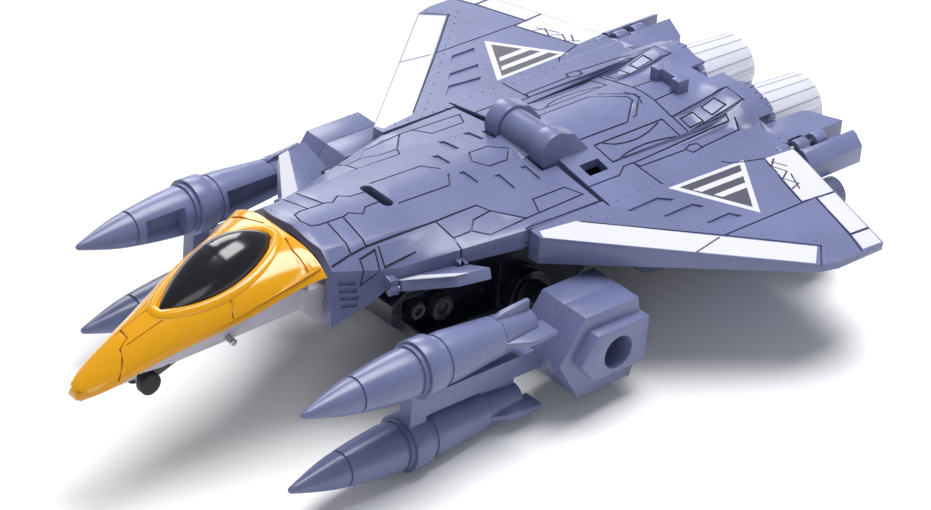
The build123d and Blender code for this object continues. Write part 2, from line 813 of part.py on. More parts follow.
with BuildPart() as nose_keel:
    loft(sections=[keel_section(y, 0) for y in (-nose_back, -nose_reach + 0.8)], ruled=True)
    web = (
        (nose_hinge_y, nose_hinge_z + knuckle_big_r),
        (-nose_back - 1.0, nose_hinge_z + knuckle_big_r),
        (-nose_back - 1.0, nose_hinge_z - 0.5),
        (nose_hinge_y, nose_hinge_z - knuckle_big_r),
    )
    side_slab(web, -knuckle_half, knuckle_half)
    rod(nose_hinge_y, nose_hinge_z, -knuckle_half, knuckle_half, knuckle_big_r)
    rod(nose_hinge_y, nose_hinge_z, -knuckle_half, knuckle_half, nose_pin_r + running, Mode.SUBTRACT)
    # bay for the folded nose gear
    bay = (
        (gear_pivot[0] + 1.8, gear_pivot[1] + 2.0),
        (gear_pivot[0] + 1.8, nose_tip_z - 3.0),
        (gear_wheel[0] - wheel_r - 0.6, nose_tip_z - 3.0),
        (gear_wheel[0] - wheel_r - 0.6, gear_wheel[1] + wheel_r + 0.7),
        (gear_wheel[0] + wheel_r, gear_wheel[1] + wheel_r + 0.7),
    )
    side_slab(bay, -bay_half, bay_half, Mode.SUBTRACT)
    rod(*gear_pivot, -keel_half, keel_half, gear_pin_r, Mode.SUBTRACT)
write(nose_keel, "nose_keel")

with BuildPart() as gear_pin:
    rod(*gear_pivot, -gear_pin_half, gear_pin_half, gear_pin_r)
write(gear_pin, "gear_pin")

with BuildPart() as gear_leg:
    strut = (
        (gear_pivot[0], gear_pivot[1] + 1.0),
        (gear_wheel[0], gear_wheel[1] + 0.9),
        (gear_wheel[0], gear_wheel[1] - 0.9),
        (gear_pivot[0], gear_pivot[1] - 1.0),
    )
    side_slab(strut, -gear_half, gear_half)
    rod(*gear_pivot, -gear_half, gear_half, 1.0)
    rod(*gear_wheel, -gear_half, gear_half, 0.9)
    rod(*gear_pivot, -gear_half, gear_half, gear_pin_r + running, Mode.SUBTRACT)
    rod(*gear_wheel, -gear_half, gear_half, wheel_pin_r, Mode.SUBTRACT)
write(gear_leg, "gear_leg")

with BuildPart() as gear_wheels:
    for side in (1, -1):
        rod(*gear_wheel, side * (gear_half + 0.05), side * (bay_half - gap), wheel_r)
    rod(*gear_wheel, -gear_half - 0.05, gear_half + 0.05, wheel_pin_r)
write(gear_wheels, "gear_wheels")

# ======== pods, racks and missiles ========
pod_side = (
    (pod_flat_front, pod_top),
    (pod_flat_rear, pod_top),
    (pod_tail, (pod_top + pod_bottom) / 2),
    (pod_flat_rear, pod_bottom),
    (pod_flat_front, pod_bottom),
    (pod_nose, (pod_top + pod_bottom) / 2),
)
pod_mid_z = (pod_top + pod_bottom) / 2
pad_side = (
    (pod_flat_front + 1.0, pod_top - 2.4),
    (pod_flat_rear + 0.8, pod_top - 2.4),
    (pod_flat_rear + 0.8, pod_bottom + 3.2),
    (pod_flat_front + 1.0, pod_bottom + 3.2),
    (pod_nose + 2.3, pod_mid_z),
)


def missile(side, x, z):
    """One missile with its axis along Y: cone, body, tapered tail and side fin."""
    with BuildPart() as body:
        with BuildSketch(Plane.XY.offset(z)) as half_profile:
            with BuildLine():
                Polyline(
                    (side * x, missile_tip),
                    (side * (x + 0.35), missile_tip + 0.2),
                    (side * (x + 0.70 * missile_r), missile_tip + 8.6),
                    (side * (x + missile_r), ring_front - 1.0),
                    (side * (x + missile_r), ring_front + ring_len + 3.0),
                    (side * (x + 0.62 * missile_r), missile_tail),
                    (side * x, missile_tail),
                    close=True,
                )
            make_face()
        revolve(axis=Axis((side * x, 0, z), (0, 1, 0)))
        # open inner side, behind and ahead of the clamp ring
        for y0, y1 in (
            (missile_tip + 10.0, ring_front - 1.0),
            (ring_front + ring_len + 0.8, missile_tail - 2.0),
        ):
            with BuildSketch(Plane.YZ.offset(side * (x - 2 * missile_r))):
                with Locations(((y0 + y1) / 2, z)):
                    Rectangle(y1 - y0, 1.3 * missile_r)
            extrude(amount=side * 2.2 * missile_r, mode=Mode.SUBTRACT)
        with BuildSketch(Plane.XY.offset(z - 0.45)):
            with BuildLine():
                Polyline(
                    (side * (x + 0.5), missile_tail - 6.5),
                    (side * (x + 2.6), missile_tail - 6.5),
                    (side * (x + fin_reach), missile_tail - 3.0),
                    (side * (x + fin_reach), missile_tail + 1.6),
                    (side * (x + 0.5), missile_tail + 1.6),
                    close=True,
                )
            make_face()
        extrude(amount=0.9)
    return body


for name, side in SIDES:
    with BuildPart() as pod_outer:
        side_slab(pod_side, side * pod_seam, side * pod_out)
        side_slab(pad_side, side * pod_out, side * (pod_out + pad_t))
        chamber = [(0.68 * (y - shoulder_y0) + shoulder_y0, 0.72 * (z - pod_mid_z) + pod_mid_z) for y, z in pod_side]
        side_slab(chamber, side * pod_seam, side * (pod_out + pad_t - port_len), Mode.SUBTRACT)
        rod(shoulder_y0, pod_mid_z, side * pod_seam, side * (pod_out + pad_t), port_r, Mode.SUBTRACT)
    write(pod_outer, f"pod_outer_{name}")

    with BuildPart() as pod_inner:
        side_slab(pod_side, side * pod_in, side * pod_seam)
        rod(shoulder_y0, shoulder_z, side * pod_in, side * (pod_in + axle_depth + gap), axle_r + running, Mode.SUBTRACT)
    write(pod_inner, f"pod_inner_{name}")

    with BuildPart() as rack:
        ring_back = ring_front + ring_len
        for x, z in ((upper_x, upper_z), (lower_x, lower_z)):
            with BuildSketch(Plane.XZ.offset(-ring_front)):
                with Locations((side * x, z)):
                    Circle(ring_r)
            extrude(amount=-ring_len)
        bar = (
            (ring_front, upper_z - ring_r + 0.8),
            (ring_back, upper_z - ring_r + 0.8),
            (ring_back, upper_z - ring_r - gap),
            (ring_back + 1.0, bar_top),
            (pod_nose + 1.6, bar_top),
            (pod_nose + 1.6, bar_bottom),
            (ring_back + 1.0, bar_bottom),
            (ring_back, lower_z + ring_r + gap),
            (ring_back, lower_z + ring_r - 0.8),
            (ring_front, lower_z + ring_r - 0.8),
        )
        side_slab(bar, side * (rack_x - rack_t / 2), side * (rack_x + rack_t / 2))
        for x, z in ((upper_x, upper_z), (lower_x, lower_z)):
            with BuildSketch(Plane.XZ.offset(-ring_front)):
                with Locations((side * x, z)):
                    Circle(missile_r)
            extrude(amount=-ring_len, mode=Mode.SUBTRACT)
        # spigot on the bar seats against the sloping front of the pod
        add(pod_inner.part, mode=Mode.SUBTRACT)
    write(rack, f"missile_rack_{name}")

    for place, x, z in (("upper", upper_x, upper_z), ("lower", lower_x, lower_z)):
        body = missile(side, x, z)
        write(body, f"missile_{place}_{name}")
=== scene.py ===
"""A hand-sized folding toy jet on a pale table, with its moulded plastic, paint and panel lines.

Lengths are in metres in the world. Where a piece is laid out in millimetres, that is the deck's
own frame: nose towards -Y, left wing towards +X, the flat deck at z = 0.
"""

import bmesh
import bpy
import json
import math
from mathutils import Matrix, Vector
from mathutils.bvhtree import BVHTree
from mathutils.geometry import delaunay_2d_cdt


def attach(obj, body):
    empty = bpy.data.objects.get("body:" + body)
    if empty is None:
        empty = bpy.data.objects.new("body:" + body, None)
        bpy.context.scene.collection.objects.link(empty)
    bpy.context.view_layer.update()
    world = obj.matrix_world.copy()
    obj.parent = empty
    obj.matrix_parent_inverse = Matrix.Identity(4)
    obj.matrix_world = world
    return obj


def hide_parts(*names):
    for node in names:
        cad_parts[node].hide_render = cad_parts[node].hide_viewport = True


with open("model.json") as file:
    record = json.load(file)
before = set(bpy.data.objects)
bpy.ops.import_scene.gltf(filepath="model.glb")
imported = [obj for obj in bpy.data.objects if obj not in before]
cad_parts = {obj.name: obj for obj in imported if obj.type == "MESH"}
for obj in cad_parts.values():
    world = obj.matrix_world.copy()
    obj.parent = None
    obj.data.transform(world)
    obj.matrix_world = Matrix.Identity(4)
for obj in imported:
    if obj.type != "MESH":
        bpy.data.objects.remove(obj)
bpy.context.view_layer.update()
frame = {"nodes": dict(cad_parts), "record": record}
scene = bpy.context.scene

# ---- Camera ----
# A long lens well above and ahead of the toy's left side. Its position and its axes were fitted so
# that the toy fills the frame from the nose at the left to the wing tip at the right.
focal_length, sensor_width = 146.14, 36.0
camera_place = Vector((0.3230, -0.2747, 0.3152))
lens = bpy.data.cameras.new("camera")
lens.lens = focal_length
lens.sensor_width = sensor_width
camera = bpy.data.objects.new("camera", lens)
scene.collection.objects.link(camera)
camera_right = Vector((0.6530, 0.7573, 0.0)).normalized()
camera_back = Vector((0.6145, -0.5299, 0.5845)).normalized()
camera_up = camera_back.cross(camera_right).normalized()
camera_turn = Matrix((camera_right, camera_up, camera_back)).transposed().to_4x4()
camera.matrix_world = Matrix.Translation(camera_place) @ camera_turn
scene.camera = camera

# ---- Table and lights ----
# A plain pale table under one big overhead softbox, a second softbox behind on the right wing's
# side, and a weak fill from the camera's side.
table = bpy.data.meshes.new("table")
reach = 2.0
table_corners = [(-reach, -reach, 0), (reach, -reach, 0), (reach, reach, 0), (-reach, reach, 0)]
table.from_pydata(table_corners, [], [(0, 1, 2, 3)])
floor = bpy.data.objects.new("table", table)
scene.collection.objects.link(floor)
paper = bpy.data.materials.new("white paper sweep")
paper.use_nodes = True
paper_skin = paper.node_tree.nodes["Principled BSDF"]
paper_skin.inputs["Base Color"].default_value = (0.93, 0.93, 0.93, 1)
paper_skin.inputs["Roughness"].default_value = 0.9
table.materials.append(paper)

scene.view_settings.view_transform = "Standard"
sky = bpy.data.worlds.new("studio")
sky.use_nodes = True
backdrop = sky.node_tree.nodes["Background"]
backdrop.inputs["Color"].default_value = (0.94, 0.95, 1.0, 1)
backdrop.inputs["Strength"].default_value = 0.30
scene.world = sky
for name, place, size, power in (
    ("softbox overhead", (-0.05, 0.22, 0.8), 0.5, 8.2),
    ("softbox behind", (-0.7, 0.35, 0.42), 0.4, 3.0),
    ("fill by the camera", (0.7, -0.5, 0.35), 0.4, 0.9),
):
    lamp = bpy.data.lights.new(name, "AREA")
    lamp.shape = "SQUARE"
    lamp.size = size
    lamp.energy = power
    light = bpy.data.objects.new(name, lamp)
    light.location = place
    light.rotation_euler = Vector(place).to_track_quat("Z", "Y").to_euler()
    scene.collection.objects.link(light)


# ---- Rear fuselage ----
# The crested rear half of the body is an injection-moulded shell in blue grey plastic with a screwed
# cover underneath. Its top carries moulded panel lines, two sockets and the two engine humps.
class Shade:
    """A socket of a material's node tree, for writing shader maths as plain expressions."""

    def __init__(self, tree, socket=None):
        self.tree = tree
        self.socket = socket

    def node(self, kind, output=0, settings=(), **values):
        """Adds a node, sets it up, fills or links its sockets and gives back one output."""
        made = self.tree.nodes.new(kind)
        for name, value in dict(settings).items():
            setattr(made, name, value)
        for name, value in values.items():
            socket = made.inputs[int(name[1:])] if name[0] == "_" else made.inputs[name]
            if isinstance(value, Shade):
                self.tree.links.new(value.socket, socket)
            else:
                socket.default_value = value
        return Shade(self.tree, made.outputs[output])

    def maths(self, operation, a, b):
        return self.node("ShaderNodeMath", settings={"operation": operation}, _0=a, _1=b)

    def __add__(self, other):
        return self.maths("ADD", self, other)

    def __sub__(self, other):
        return self.maths("SUBTRACT", self, other)

    def __rsub__(self, other):
        return self.maths("SUBTRACT", other, self)

    def __mul__(self, other):
        return self.maths("MULTIPLY", self, other)

    __radd__ = __add__
    __rmul__ = __mul__

    def above(self, low, high):
        """0 under low, 1 over high."""
        return self.node("ShaderNodeMapRange", Value=self, **{"From Min": low, "From Max": high})

    def mix(self, first, second):
        """first where this value is 0, second where it is 1, for colours."""
        return self.node("ShaderNodeMix", 2, {"data_type": "RGBA"}, _0=self, _6=first, _7=second)

    def noise(self, where, scale, detail=2.0):
        return self.node("ShaderNodeTexNoise", Vector=where, Scale=scale, Detail=detail)


# noise cells per metre for the flow clouds, the grain and the scuff streaks, and the grain's depth
cloud_scale, grain_scale, streak_scale = 70.0, 2600.0, (900.0, 120.0, 900.0)
grain_depth = 0.00004


def moulded(name, colour, roughness, coat=0.0, grain=0.14, wear=0.08, flow=0.06):
    """A moulded plastic: its colour, how matt it is, and how strong its grain and wear are."""
    finish = bpy.data.materials.new(name)
    finish.use_nodes = True
    tree = finish.node_tree
    skin = tree.nodes["Principled BSDF"]
    shade = Shade(tree)
    where = shade.node("ShaderNodeTexCoord", "Object")
    drawn_out = shade.node("ShaderNodeMapping", Vector=where, Scale=streak_scale)
    cloud = shade.noise(where, cloud_scale, 3.0)
    fine = shade.noise(where, grain_scale, 2.0)
    streak = shade.noise(drawn_out, 1.0, 3.0)
    scuff = streak.above(0.66, 0.78) * cloud.above(0.45, 0.6)
    deep = [channel * (1.0 - flow * 2.0) for channel in colour] + [1]
    pale = [min(channel * (1.0 + flow * 2.0), 1.0) for channel in colour] + [1]
    rubbed = [channel + (1.0 - channel) * 0.3 for channel in colour] + [1]
    tone = (scuff * wear).mix(cloud.above(0.3, 0.7).mix(deep, pale), rubbed)
    tree.links.new(tone.socket, skin.inputs["Base Color"])
    rough = fine.above(0.2, 0.8) * 0.10 + cloud * 0.06 + scuff * 0.15 + (roughness - 0.08)
    tree.links.new(rough.socket, skin.inputs["Roughness"])
    height = fine + cloud * 2.0 + streak * 0.5
    dents = shade.node("ShaderNodeBump", Strength=grain, Distance=grain_depth, Height=height)
    tree.links.new(dents.socket, skin.inputs["Normal"])
    skin.inputs["Coat Weight"].default_value = coat
    skin.inputs["Coat Roughness"].default_value = 0.12
    return finish


blue = moulded("blue grey plastic", (0.138, 0.158, 0.300), 0.30)
# a darker blue painted into the floors of the panel lines as the shade that falls in the grooves
blue_groove_painted_shade = moulded("blue grey plastic in the panel lines", (0.030, 0.035, 0.075), 0.5)
steel = moulded("plain steel", (0.50, 0.50, 0.52), 0.3, flow=0.03)
steel.node_tree.nodes["Principled BSDF"].inputs["Metallic"].default_value = 1.0
navy_colour = (0.008, 0.009, 0.020)
navy = moulded("near black navy plastic", navy_colour, 0.24, coat=0.2, wear=0.02, grain=0.1)

bodies = frame["record"]["behaviour"]["bodies"]
body_of = {node: body for body, nodes in bodies.items() for node in nodes}
edge_radius = 0.00016
edge_angle = math.radians(28)
flat_angle = math.radians(0.8)
weld_gap = 2e-6


def shell(name, work, body, node, *finish, slot="blue_plastic"):
    """Turns a finished bmesh into a piece that rides on its body and may stand for its node."""
    mesh = bpy.data.meshes.new(name)
    work.to_mesh(mesh)
    work.free()
    for face in mesh.polygons:
        face.use_smooth = True
    mesh.set_sharp_from_angle(angle=edge_angle)
    for material in finish:
        mesh.materials.append(material)
    piece = bpy.data.objects.new(name, mesh)
    scene.collection.objects.link(piece)
    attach(piece, body)
    if node:
        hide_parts(node)
    return piece


def merge_flat(work):
    """Joins the triangles of each flat area into one face."""
    bmesh.ops.dissolve_limit(work, angle_limit=flat_angle, verts=work.verts, edges=work.edges)


def ease_edges(work):
    """Puts the mould's small radius on a bmesh's sharp edges."""
    sharp = [e for e in work.edges if len(e.link_faces) == 2 and e.calc_face_angle() > edge_angle]
    bmesh.ops.bevel(
        work,
        geom=sharp,
        offset=edge_radius,
        segments=2,
        profile=0.5,
        affect="EDGES",
        clamp_overlap=True,
    )


def eased(node, merge=True):
    """A copy of a node's solid with eased edges."""
    work = bmesh.new()
    work.from_mesh(frame["nodes"][node].data)
    bmesh.ops.remove_doubles(work, verts=work.verts, dist=weld_gap)
    if merge:
        merge_flat(work)
    ease_edges(work)
    bmesh.ops.triangulate(work, faces=work.faces)
    return work


def mould(finish, *nodes):
    """Stands a copy with eased edges in for each of these nodes, on the node's own body."""
    for node in nodes:
        shell(f"{node}_moulding", eased(node), body_of[node], node, finish)


mould(blue, "rear_shell", "top_clip")
mould(navy, "rear_cover")
mould(steel, "cover_screws", "fold_pin")

# the deck's frame in the world: its tilt, its origin in metres and its unit
tilt = math.radians(-5.6)
deck_origin = Vector((0, 0.0090722, 0.0203345))
millimetre = 0.001
deck_turn = Matrix.Rotation(tilt, 4, "X") @ Matrix.Scale(millimetre, 4)
deck_to_world = Matrix.Translation(deck_origin) @ deck_turn
skin_rise = 0.32
skin_foot = 0.05
line_width = 0.26
line_depth = 0.24
well_depth = 0.29


def strip(a, b, width):
    """A thin rectangle along the line from a to b, a little longer than the line."""
    a, b = Vector(a), Vector(b)
    along = (b - a).normalized() * (width / 2)
    across = Vector((-along.y, along.x))
    return [a - along - across, b + along - across, b + along + across, a - along + across]


def lines_to_strips(lines, width):
    """One strip for each straight stretch of the open lines."""
    return [strip(a, b, width) for line in lines for a, b in zip(line, line[1:])]


def loops_to_strips(loops, width):
    """The same for closed lines."""
    return lines_to_strips([loop + loop[:1] for loop in loops], width)


def relief(
    surface, outline, lines=(), wells=(), holes=(), paints=(), creases=(), pitch=1.2, rise=skin_rise
):
    """A skin over a flat layout. surface(u, v) gives the deck point and the outward direction.

    lines, wells, holes and paints are polygons in the layout; paints are (polygon, material
    index) pairs, later ones over earlier ones; creases are lines the mesh has to follow.
    """
    points, faces, edges, kinds = [], [], [], []

    def polygon(corners, kind):
        area = sum(a[0] * b[1] - b[0] * a[1] for a, b in zip(corners, corners[1:] + corners[:1]))
        start = len(points)
        points.extend(Vector(c[:2]) for c in (corners if area > 0 else corners[::-1]))
        faces.append(list(range(start, len(points))))
        kinds.append(kind)

    polygon(list(outline), ("skin", 0))
    for shapes, kind in ((lines, "line"), (wells, "well"), (holes, "hole")):
        for shape in shapes:
            polygon(list(shape), (kind, 0))
    for shape, index in paints:
        polygon(list(shape), ("paint", index))
    for crease in creases:
        for a, b in zip(crease, crease[1:]):
            edges.append((len(points), len(points) + 1))
            points.extend((Vector(a), Vector(b)))
    low = [min(p[k] for p in outline) for k in (0, 1)]
    high = [max(p[k] for p in outline) for k in (0, 1)]
    for row in range(1, int((high[1] - low[1]) / pitch) + 1):
        for column in range(1, int((high[0] - low[0]) / pitch) + 1):
            points.append(Vector((low[0] + column * pitch, low[1] + row * pitch)))
    flat, _, cells, _, _, owners = delaunay_2d_cdt(points, edges, faces, 0, 1e-5)

    work = bmesh.new()
    corner = {}

    def vertex(index, depth):
        if (index, depth) not in corner:
            place, out = surface(*flat[index])
            corner[index, depth] = work.verts.new(deck_to_world @ (place + out * (rise - depth)))
        return corner[index, depth]

    depth_of, sides = {}, {}
    for number, (cell, owner) in enumerate(zip(cells, owners)):
        kind = {kinds[o][0] for o in owner}
        if "skin" not in kind or "hole" in kind:
            continue
        depth = line_depth if "line" in kind else well_depth if "well" in kind else 0.0
        colours = [kinds[o][1] for o in sorted(owner) if kinds[o][0] == "paint"]
        colour = colours[-1] if colours else 0
        depth_of[number] = depth, colour
        made = work.faces.new([vertex(i, depth) for i in cell])
        # a groove's floor takes the skin's second material, a darker copy painted as the shade in the
        # groove
        made.material_index = 1 if "line" in kind else colour
        for a, b in zip(cell, cell[1:] + cell[:1]):
            sides[a, b] = number
    for (a, b), number in sides.items():
        depth, colour = depth_of[number]
        other = sides.get((b, a))
        foot = depth_of[other][0] if other is not None else rise + skin_foot
        if depth < foot:
            wall = [vertex(a, depth), vertex(a, foot), vertex(b, foot), vertex(b, depth)]
            work.faces.new(wall).material_index = colour
    return work


def mirrored(shape):
    """The same layout on the right-hand side."""
    return [(-x, y) for x, y in shape]


def both(shapes):
    return [list(s) for s in shapes] + [mirrored(s) for s in shapes]


rear_front, rear_back, root_half = 6.3, 39.0, 16.75
engine_x, engine_z = 7.0, -3.2
hump_front, hump_back, hump_run = 31.0, 41.9, 6.2
hump_radius, hump_growth = 3.2, 3.0
hump_in, hump_out = 1.9, 12.1
valley_width, valley_fill = 2.6, 0.65
panel_line = dict(
    crest_front=[(0, 10.4), (3.3, 10.6), (4.0, 11.5), (4.1, 21.0), (0.6, 25.2), (0, 25.2)],
    crest_hook=[(3.6, 22.6), (3.6, 23.1), (0.4, 26.7), (-1.8, 25.9)],
    engine_front=[(0, 28.0), (2.2, 28.0), (5.9, 27.9)],
    crest_bay=[(2.2, 28.0), (2.0, 31.6)],
    root_step=[(12.0, 6.8), (12.1, 12.3), (10.8, 14.3), (10.8, 16.0), (16.6, 16.2)],
    root_run=[(10.8, 16.0), (12.0, 16.4), (12.2, 24.9)],
    root_run_back=[(12.9, 27.2), (12.4, 35.1), (10.7, 35.8)],
    rail=[(9.3, 13.6), (9.6, 35.1), (10.5, 34.8), (10.9, 16.2)],
    hump_edge=[(9.1, 35.9), (9.1, 38.9)],
)
panel_loop = dict(
    long_panel=[(5.7, 13.2), (5.7, 26.2), (9.2, 26.5), (9.2, 13.6)],
    catch=[(12.1, 24.9), (11.6, 26.2), (11.9, 27.3), (13.0, 27.4), (13.2, 25.3)],
    square_front=[(6.7, 28.9), (6.6, 31.4), (8.6, 31.6), (8.6, 29.0)],
    square_rear=[(6.6, 33.1), (6.5, 35.7), (8.5, 36.0), (8.5, 33.4)],
    engine_panel=[(5.9, 28.0), (9.2, 28.2), (9.1, 38.7), (5.8, 38.7)],
)
long_panel_curves = (
    [(5.9, 14.7), (6.7, 16.2), (7.1, 18.0), (7.2, 20.2), (6.8, 22.7), (6.0, 25.1)],
    [(9.2, 14.9), (8.7, 16.6), (8.5, 18.2), (8.4, 20.2), (8.5, 21.9), (8.8, 24.3), (9.2, 26.2)],
)
hinge_socket = [(7.8, 8.5), (10.2, 8.5), (10.2, 12.0), (7.8, 12.0)]


def rear_height(x, y):
    """Height of the rear deck, with the engine humps blended into it."""
    a = abs(x)
    if a < 5.0:
        deck = 2.7 - 0.7 * (a / 5.0) ** 2
    elif a < 9.3:
        deck = 2.0 - 1.3 * (a - 5.0) / 4.3
    else:
        deck = 0.7 * (root_half - a) / (root_half - 9.3)
    radius = hump_radius + hump_growth * min(max((y - hump_front) / hump_run, 0.0), 1.0)
    inside = radius**2 - (a - engine_x) ** 2
    hump = engine_z + math.sqrt(inside) if inside > 0 and y > hump_front else engine_z
    gap = min(abs(deck - hump) / valley_width, 1.0)
    return max(deck, hump) + valley_fill * (1.0 - gap) ** 2


def rear_surface(x, y):
    """A point of the rear deck and its outward direction."""
    step = 0.05
    slope_x = (rear_height(x + step, y) - rear_height(x - step, y)) / (2 * step)
    slope_y = (rear_height(x, y + step) - rear_height(x, y - step)) / (2 * step)
    return Vector((x, y, rear_height(x, y))), Vector((-slope_x, -slope_y, 1)).normalized()


rear_lines = lines_to_strips(both(panel_line.values()), line_width)
rear_lines += loops_to_strips(both(panel_loop.values()), line_width)
rear_lines += lines_to_strips(both(long_panel_curves), line_width)
barrel_room = [(-3.4, 5.0), (3.4, 5.0), (3.4, 9.1), (-3.4, 9.1)]
rear_outline = [
    (-root_half, rear_front),
    (root_half, rear_front),
    (root_half, rear_back),
    (hump_out, rear_back),
    (hump_out, hump_back),
    (hump_in, hump_back),
    (hump_in, rear_back),
    (-hump_in, rear_back),
    (-hump_in, hump_back),
    (-hump_out, hump_back),
    (-hump_out, rear_back),
    (-root_half, rear_back),
]
rear_skin = relief(
    rear_surface, rear_outline, rear_lines, holes=both([hinge_socket]) + [barrel_room], pitch=0.7
)
shell("rear_deck_skin", rear_skin, "airframe", None, blue, blue_groove_painted_shade)


def repeated(name, build, body, finish, points=((0, 0, 0),), slot="blue_plastic", **inputs):
    """Runs a geometry node tree over a cloud of deck points and keeps the result as a piece."""
    cloud = bpy.data.meshes.new(name + "_points")
    cloud.from_pydata(points, [], [])
    host = bpy.data.objects.new(name + "_host", cloud)
    scene.collection.objects.link(host)
    tree = bpy.data.node_groups.new(name, "GeometryNodeTree")
    tree.interface.new_socket("Geometry", in_out="OUTPUT", socket_type="NodeSocketGeometry")
    tree.interface.new_socket("Points", in_out="INPUT", socket_type="NodeSocketGeometry")
    kinds = {int: "NodeSocketInt", float: "NodeSocketFloat", tuple: "NodeSocketVector"}
    inputs["Finish"] = finish
    for label, value in inputs.items():
        kind = kinds.get(type(value), "NodeSocketMaterial")
        tree.interface.new_socket(label, in_out="INPUT", socket_type=kind)
    start = tree.nodes.new("NodeGroupInput")
    given = {socket.name: Shade(tree, socket) for socket in start.outputs if socket.name}
    made = build(Shade(tree), given)
    real = made.node("GeometryNodeRealizeInstances", Geometry=made)
    coated = made.node("GeometryNodeSetMaterial", Geometry=real, Material=given["Finish"])
    tree.links.new(coated.socket, tree.nodes.new("NodeGroupOutput").inputs[0])
    modifier = host.modifiers.new(name, "NODES")
    modifier.node_group = tree
    for item in tree.interface.items_tree:
        if item.name in inputs:
            modifier[item.identifier] = inputs[item.name]
    evaluated = host.evaluated_get(bpy.context.evaluated_depsgraph_get())
    mesh = bpy.data.meshes.new_from_object(evaluated)
    bpy.data.objects.remove(host)
    mesh.transform(deck_to_world)
    piece = bpy.data.objects.new(name, mesh)
    scene.collection.objects.link(piece)
    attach(piece, body)
    return piece


def teeth(graph, given):
    """Uneven blocks round part of a circle about the deck's long axis."""
    turn = graph.node("GeometryNodeInputIndex") * given["Step"] + given["Start"]
    east = graph.maths("COSINE", turn, 0.0) * given["Radius"]
    up = graph.maths("SINE", turn, 0.0) * given["Radius"]
    place = graph.node("ShaderNodeCombineXYZ", X=east, Z=up)
    ring = graph.node("GeometryNodePoints", Count=given["Count"], Position=place)
    length = graph.node(
        "FunctionNodeRandomValue", 1, _2=given["Shortest"], _3=1.0, Seed=given["Seed"]
    )
    block = graph.node("GeometryNodeMeshCube", Size=given["Size"])
    lean = graph.node("ShaderNodeCombineXYZ", Z=given["Lean"])
    leaning = graph.node("GeometryNodeTransform", Geometry=block, Rotation=lean)
    placed = graph.node(
        "GeometryNodeInstanceOnPoints",
        Points=ring,
        Instance=leaning,
        Rotation=graph.node("ShaderNodeCombineXYZ", Y=0.0 - turn),
        Scale=graph.node("ShaderNodeCombineXYZ", X=1.0, Y=length, Z=1.0),
    )
    return graph.node("GeometryNodeTransform", Geometry=placed, Translation=given["Middle"])


# the moulded edge of each engine hump is left ragged above its nozzle
for name, side in (("left", 1), ("right", -1)):
    repeated(
        f"hump_edge_{name}",
        teeth,
        "airframe",
        blue,
        Count=15,
        Start=0.25,
        Step=0.19,
        Radius=6.0,
        Size=(0.6, 1.8, 1.0),
        Lean=0.0,
        Shortest=0.45,
        Seed=3,
        Middle=(side * engine_x, hump_back, engine_z),
    )

# ---- Wings ----
# Each wing is a flat moulded plate pegged into the fuselage. Its top has white printed edges, a
# printed delta, panel lines, three shallow wells and rows of small moulded rivet heads.
white_paint = moulded("white paint", (0.60, 0.60, 0.68), 0.42, coat=0.0, flow=0.02)
navy_print = moulded("printed dark grey", (0.065, 0.065, 0.10), 0.4)
mould(blue, "wing_left", "wing_right")
wing_slope = 0.0752
wing_line = (
    [
        (16.9, 27.4), (17.9, 28.3), (19.5, 33.3), (21.3, 32.7), (22.6, 32.5), (24.5, 31.7),
        (29.9, 30.3),
    ],
    [(17.6, 0.2), (30.1, 15.2), (38.8, 25.2), (42.2, 21.9)],
    [(30.1, 15.2), (30.1, 32.8), (30.5, 36.0)],
    [(30.1, 14.2), (31.0, 9.2)],
    [(30.3, 32.8), (39.0, 30.6), (42.6, 29.3)],
    [(39.0, 30.6), (39.2, 34.0)],
    [(20.2, 34.4), (21.4, 32.8), (23.4, 33.9), (24.4, 32.1), (26.4, 33.2), (26.9, 31.5)],
    [(20.6, 33.6), (22.4, 34.8)],
    [(24.2, 33.9), (27.4, 32.4)],
)
wing_well = (
    [(18.9, 7.4), (18.7, 13.3), (20.2, 15.2), (20.9, 9.6)],
    [(22.4, 10.9), (22.3, 16.6), (23.6, 17.7), (23.8, 12.4)],
    [(26.6, 15.0), (26.5, 19.6), (28.0, 20.7), (28.0, 16.5)],
)
white_parts = (
    [(16.3, -6.3), (17.1, -0.4), (38.7, 24.6), (41.4, 21.6), (17.7, -6.8)],
    [(19.5, 33.4), (19.9, 38.6), (23.4, 37.9), (30.3, 36.2), (30.1, 32.8), (29.7, 30.6)],
    [(30.5, 33.0), (38.8, 31.0), (39.0, 34.1), (30.7, 36.1)],
    [(39.3, 30.8), (42.4, 29.8), (42.6, 33.2), (39.5, 34.0)],
)
delta = [(17.8, 16.2), (18.2, 30.4), (28.8, 23.4)]
delta_inside = [(18.5, 17.7), (18.8, 29.1), (27.3, 23.4)]
delta_bars = (
    [(19.9, 18.9), (20.9, 19.7), (21.1, 28.1), (20.1, 28.7)],
    [(22.3, 20.7), (23.3, 21.4), (23.4, 26.2), (22.4, 26.9)],
)


def wing_surface(x, y):
    """The wing's flat top, which falls a little towards the tip."""
    out = Vector((wing_slope if x > 0 else -wing_slope, 0, 1)).normalized()
    return Vector((x, y, -wing_slope * (abs(x) - root_half))), out


def for_side(shapes, side):
    """The layouts as they are for the left (1), mirrored for the right (-1)."""
    return [list(s) if side > 0 else mirrored(s) for s in shapes]


